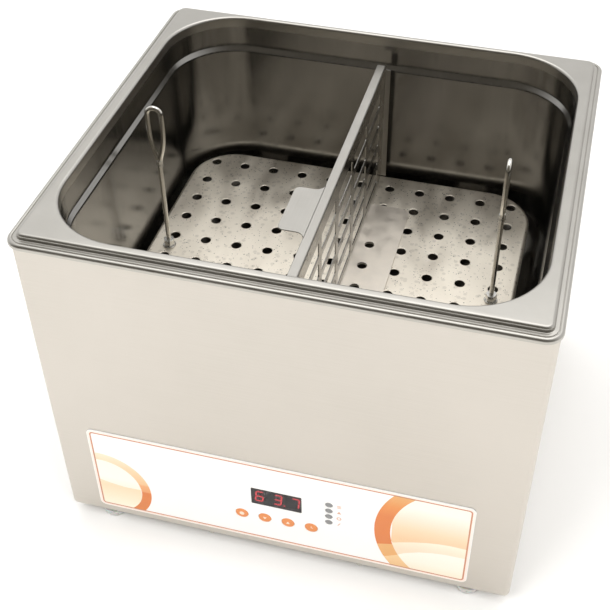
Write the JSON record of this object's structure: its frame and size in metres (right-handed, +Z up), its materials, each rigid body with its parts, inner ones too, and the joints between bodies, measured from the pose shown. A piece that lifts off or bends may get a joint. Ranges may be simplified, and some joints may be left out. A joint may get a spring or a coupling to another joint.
{
  "type": "sous vide water bath",
  "caption": "Free-standing rectangular sous vide water bath in stainless steel with a front control strip, lift-out perforated tray with two eye rods, and a lift-out slotted divider.",
  "frame": {"origin": "on the surface the bath stands on, under the centre of the rim", "axes": "+Z up, control strip faces -Y, +X to the right seen from the front"},
  "size_m": [0.354, 0.322, 0.295],
  "materials": {
    "pressed_stainless": "pressed and polished stainless sheet",
    "folded_stainless": "fine horizontal brushed stainless sheet",
    "tray_stainless": "satin stainless with water marks",
    "divider_stainless": "satin stainless sheet",
    "rod_wire": "bright stainless wire",
    "screw_steel": "bright steel",
    "foot_rubber": "milky translucent rubber",
    "seal_silicone": "dark silicone",
    "glass_wool": "needled glass fibre",
    "heater_silicone": "silicone rubber",
    "plain_aluminium": "mill finish",
    "printed_film": "printed polyester film, satin",
    "window_tint": "dark red tinted clear film",
    "display_black": "moulded black",
    "lamp_lens": "diffusing grey lens",
    "key_film": "printed orange polyester",
    "circuit_board": "green solder mask",
    "brass_parts": "plated brass",
    "transformer_black": "black moulding and laminations",
    "moulded_black": "black moulded nylon",
    "fuse_glass": "clear glass tube with metal caps",
    "wire_cover": "insulated wire"
  },
  "bodies": {
    "bath": {"tank": "pressed_stainless", "outer_case": "folded_stainless", "rear_panel": "folded_stainless", "base_plate": "folded_stainless", "rubber_feet": "foot_rubber", "foot_screws": "screw_steel", "base_screws": "screw_steel", "rear_screws": "screw_steel", "rim_seal": "seal_silicone", "tank_brackets": "screw_steel", "bracket_screws": "screw_steel", "insulation_wrap": "glass_wool", "base_insulation": "glass_wool", "heater_mat": "heater_silicone", "heater_plate": "plain_aluminium", "temperature_probe": "screw_steel", "probe_clip": "screw_steel", "overheat_cutout": "screw_steel", "control_overlay": "printed_film", "display_window": "window_tint", "display_module": "display_black", "indicator_lenses": "lamp_lens", "control_board": "circuit_board", "controller_chip": "display_black", "key_switches": "display_black", "board_standoffs": "brass_parts", "board_nuts": "screw_steel", "power_board": "circuit_board", "power_standoffs": "brass_parts", "power_transformer": "transformer_black", "terminal_block": "transformer_black", "heat_sink": "plain_aluminium", "solid_state_relay": "display_black", "earth_stud": "brass_parts", "mains_inlet": "moulded_black", "inlet_pins": "brass_parts", "inlet_screws": "screw_steel", "power_switch": "moulded_black", "mains_wires": "wire_cover", "heater_leads": "wire_cover", "probe_lead": "wire_cover", "ribbon_cable": "wire_cover"},
    "tray": {"tray": "tray_stainless", "tray_legs": "tray_stainless", "left_lifting_rod": "rod_wire", "right_lifting_rod": "rod_wire", "left_rod_eye": "rod_wire", "right_rod_eye": "rod_wire", "rod_collars": "rod_wire", "rod_nuts": "rod_wire", "rod_washers": "rod_wire"},
    "divider": {"divider": "divider_stainless", "divider_foot": "divider_stainless"},
    "set_key": {"set_key": "key_film"},
    "down_key": {"down_key": "key_film"},
    "up_key": {"up_key": "key_film"},
    "timer_key": {"timer_key": "key_film"},
    "power_rocker": {"power_rocker": "moulded_black"},
    "fuse_drawer": {"fuse_drawer": "moulded_black", "fuse": "fuse_glass"}
  },
  "joints": [
    {"name": "tray_lift", "type": "slide", "parent": "bath", "child": "tray", "axis": [0, 0, 1], "range_m": [0, 0.155]},
    {"name": "divider_lift", "type": "slide", "parent": "tray", "child": "divider", "axis": [0, 0, 1], "range_m": [0, 0.135]},
    {"name": "set_key_press", "type": "slide", "parent": "bath", "child": "set_key", "axis": [0, 1, 0], "range_m": [0, 0.0004], "stiffness_N_per_m": 1500, "springref_m": -0.0003},
    {"name": "down_key_press", "type": "slide", "parent": "bath", "child": "down_key", "axis": [0, 1, 0], "range_m": [0, 0.0004], "stiffness_N_per_m": 1500, "springref_m": -0.0003},
    {"name": "up_key_press", "type": "slide", "parent": "bath", "child": "up_key", "axis": [0, 1, 0], "range_m": [0, 0.0004], "stiffness_N_per_m": 1500, "springref_m": -0.0003},
    {"name": "timer_key_press", "type": "slide", "parent": "bath", "child": "timer_key", "axis": [0, 1, 0], "range_m": [0, 0.0004], "stiffness_N_per_m": 1500, "springref_m": -0.0003},
    {"name": "rocker_tilt", "type": "hinge", "parent": "bath", "child": "power_rocker", "pos_m": [-0.052, 0.151, 0.048], "axis": [1, 0, 0], "range_deg": [0, 14]},
    {"name": "fuse_drawer_pull", "type": "slide", "parent": "bath", "child": "fuse_drawer", "axis": [0, 1, 0], "range_m": [0, 0.024]}
  ]
}
